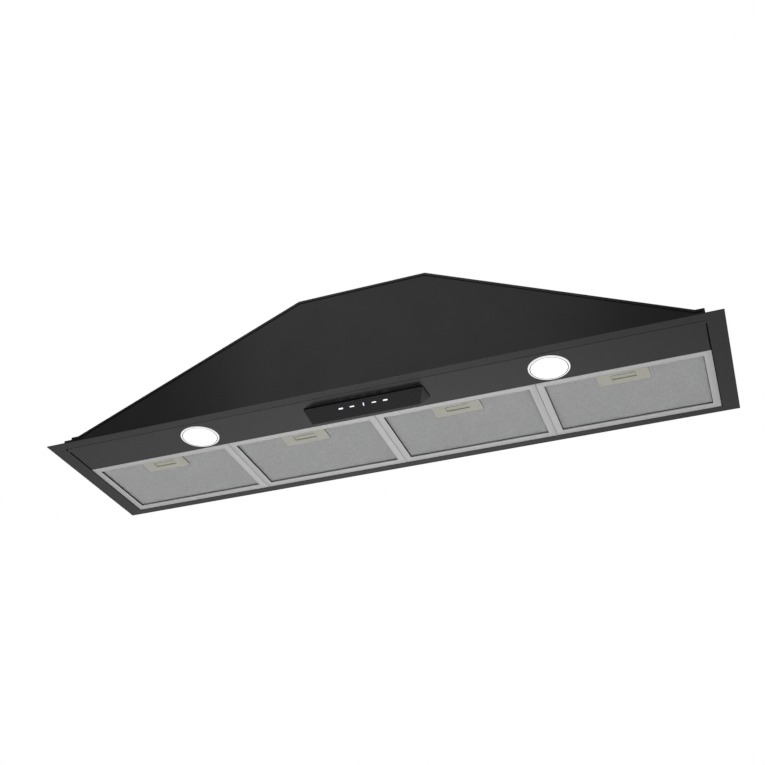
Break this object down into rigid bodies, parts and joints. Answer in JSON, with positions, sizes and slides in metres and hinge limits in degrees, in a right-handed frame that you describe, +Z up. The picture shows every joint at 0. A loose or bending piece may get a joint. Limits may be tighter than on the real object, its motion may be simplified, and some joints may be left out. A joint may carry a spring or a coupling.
{
  "type": "insert range hood",
  "caption": "Wide black insert range hood for the underside of a cabinet, with mesh grease filters, round lamps, a wedge-shaped touch control pod and a central blower.",
  "frame": {"origin": "middle of the flange's opening, on the plane of the flange's top face, which meets the cabinet", "axes": "+X to the user's right, +Y to the wall behind the hood, +Z up"},
  "size_m": [1.214, 0.3, 0.3025],
  "materials": {
    "black_paint": "satin powder coat",
    "black_plastic": "satin",
    "black_glass": "gloss",
    "filter_aluminium": "brushed, anodised",
    "filter_mesh": "expanded mesh, matt",
    "latch_steel": "satin, warm grey",
    "galvanised": "galvanised sheet",
    "bright_steel": "turned",
    "lamp_white": "white, satin",
    "lamp_lens": "opal, lit",
    "fan_plastic": "matt, moulded",
    "circuit_green": "solder mask",
    "key_mark": "lit legend"
  },
  "bodies": {
    "hood": {"flange_frame": "black_paint", "left_side_panel": "black_paint", "right_side_panel": "black_paint", "top_panel": "black_paint", "front_panel": "black_paint", "rear_panel": "black_paint", "left_side_bracket": "black_paint", "right_side_bracket": "black_paint", "light_panel": "black_paint", "control_housing": "black_plastic", "led_driver": "black_plastic", "cable_gland": "black_plastic", "gland_nut": "black_plastic", "control_glass": "black_glass", "display_module": "black_glass", "control_board": "circuit_green", "left_lamp_bezel": "lamp_white", "right_lamp_bezel": "lamp_white", "motor_capacitor": "lamp_white", "left_lamp_lens": "lamp_lens", "right_lamp_lens": "lamp_lens", "left_lamp_can": "galvanised", "right_lamp_can": "galvanised", "filter_rear_rail": "galvanised", "blower_scroll": "galvanised", "blower_left_plate": "galvanised", "blower_right_plate": "galvanised", "motor_bracket": "galvanised", "blower_flange": "galvanised", "duct_collar": "galvanised", "power_box": "galvanised", "power_box_cover": "galvanised", "blower_motor": "bright_steel", "blower_screw_1": "bright_steel", "blower_screw_2": "bright_steel", "blower_screw_3": "bright_steel", "blower_screw_4": "bright_steel", "damper_pin": "bright_steel", "left_inlet_ring": "fan_plastic", "right_inlet_ring": "fan_plastic"},
    "blower_rotor": {"blower_wheel": "fan_plastic", "motor_shaft": "bright_steel"},
    "front_flap": {"front_damper_flap": "galvanised"},
    "rear_flap": {"rear_damper_flap": "galvanised"},
    "filter_1": {"filter_1_frame": "filter_aluminium", "filter_1_mesh": "filter_mesh", "filter_1_latch_case": "latch_steel"},
    "filter_1_latch": {"filter_1_latch": "latch_steel"},
    "filter_2": {"filter_2_frame": "filter_aluminium", "filter_2_mesh": "filter_mesh", "filter_2_latch_case": "latch_steel"},
    "filter_2_latch": {"filter_2_latch": "latch_steel"},
    "filter_3": {"filter_3_frame": "filter_aluminium", "filter_3_mesh": "filter_mesh", "filter_3_latch_case": "latch_steel"},
    "filter_3_latch": {"filter_3_latch": "latch_steel"},
    "filter_4": {"filter_4_frame": "filter_aluminium", "filter_4_mesh": "filter_mesh", "filter_4_latch_case": "latch_steel"},
    "filter_4_latch": {"filter_4_latch": "latch_steel"}
  },
  "joints": [
    {"name": "filter_1_swing", "type": "hinge", "parent": "hood", "child": "filter_1", "pos_m": [-0.43305, 0.1323, -0.0012], "axis": [1, 0, 0], "range_deg": [0, 75]},
    {"name": "filter_1_latch_slide", "type": "slide", "parent": "filter_1", "child": "filter_1_latch", "axis": [0, 1, 0], "range_m": [0, 0.006], "stiffness_N_per_m": 300, "springref_m": -0.004},
    {"name": "filter_2_swing", "type": "hinge", "parent": "hood", "child": "filter_2", "pos_m": [-0.14435, 0.1323, -0.0012], "axis": [1, 0, 0], "range_deg": [0, 75]},
    {"name": "filter_2_latch_slide", "type": "slide", "parent": "filter_2", "child": "filter_2_latch", "axis": [0, 1, 0], "range_m": [0, 0.006], "stiffness_N_per_m": 300, "springref_m": -0.004},
    {"name": "filter_3_swing", "type": "hinge", "parent": "hood", "child": "filter_3", "pos_m": [0.14435, 0.1323, -0.0012], "axis": [1, 0, 0], "range_deg": [0, 75]},
    {"name": "filter_3_latch_slide", "type": "slide", "parent": "filter_3", "child": "filter_3_latch", "axis": [0, 1, 0], "range_m": [0, 0.006], "stiffness_N_per_m": 300, "springref_m": -0.004},
    {"name": "filter_4_swing", "type": "hinge", "parent": "hood", "child": "filter_4", "pos_m": [0.43305, 0.1323, -0.0012], "axis": [1, 0, 0], "range_deg": [0, 75]},
    {"name": "filter_4_latch_slide", "type": "slide", "parent": "filter_4", "child": "filter_4_latch", "axis": [0, 1, 0], "range_m": [0, 0.006], "stiffness_N_per_m": 300, "springref_m": -0.004},
    {"name": "blower_spin", "type": "hinge", "parent": "hood", "child": "blower_rotor", "pos_m": [0, -0.025, 0.118], "axis": [1, 0, 0], "continuous": true},
    {"name": "front_flap_lift", "type": "hinge", "parent": "hood", "child": "front_flap", "pos_m": [0, 0.0305, 0.2405], "axis": [-1, 0, 0], "range_deg": [0, 80]},
    {"name": "rear_flap_lift", "type": "hinge", "parent": "hood", "child": "rear_flap", "pos_m": [0, 0.0305, 0.2405], "axis": [1, 0, 0], "range_deg": [0, 80]}
  ]
}
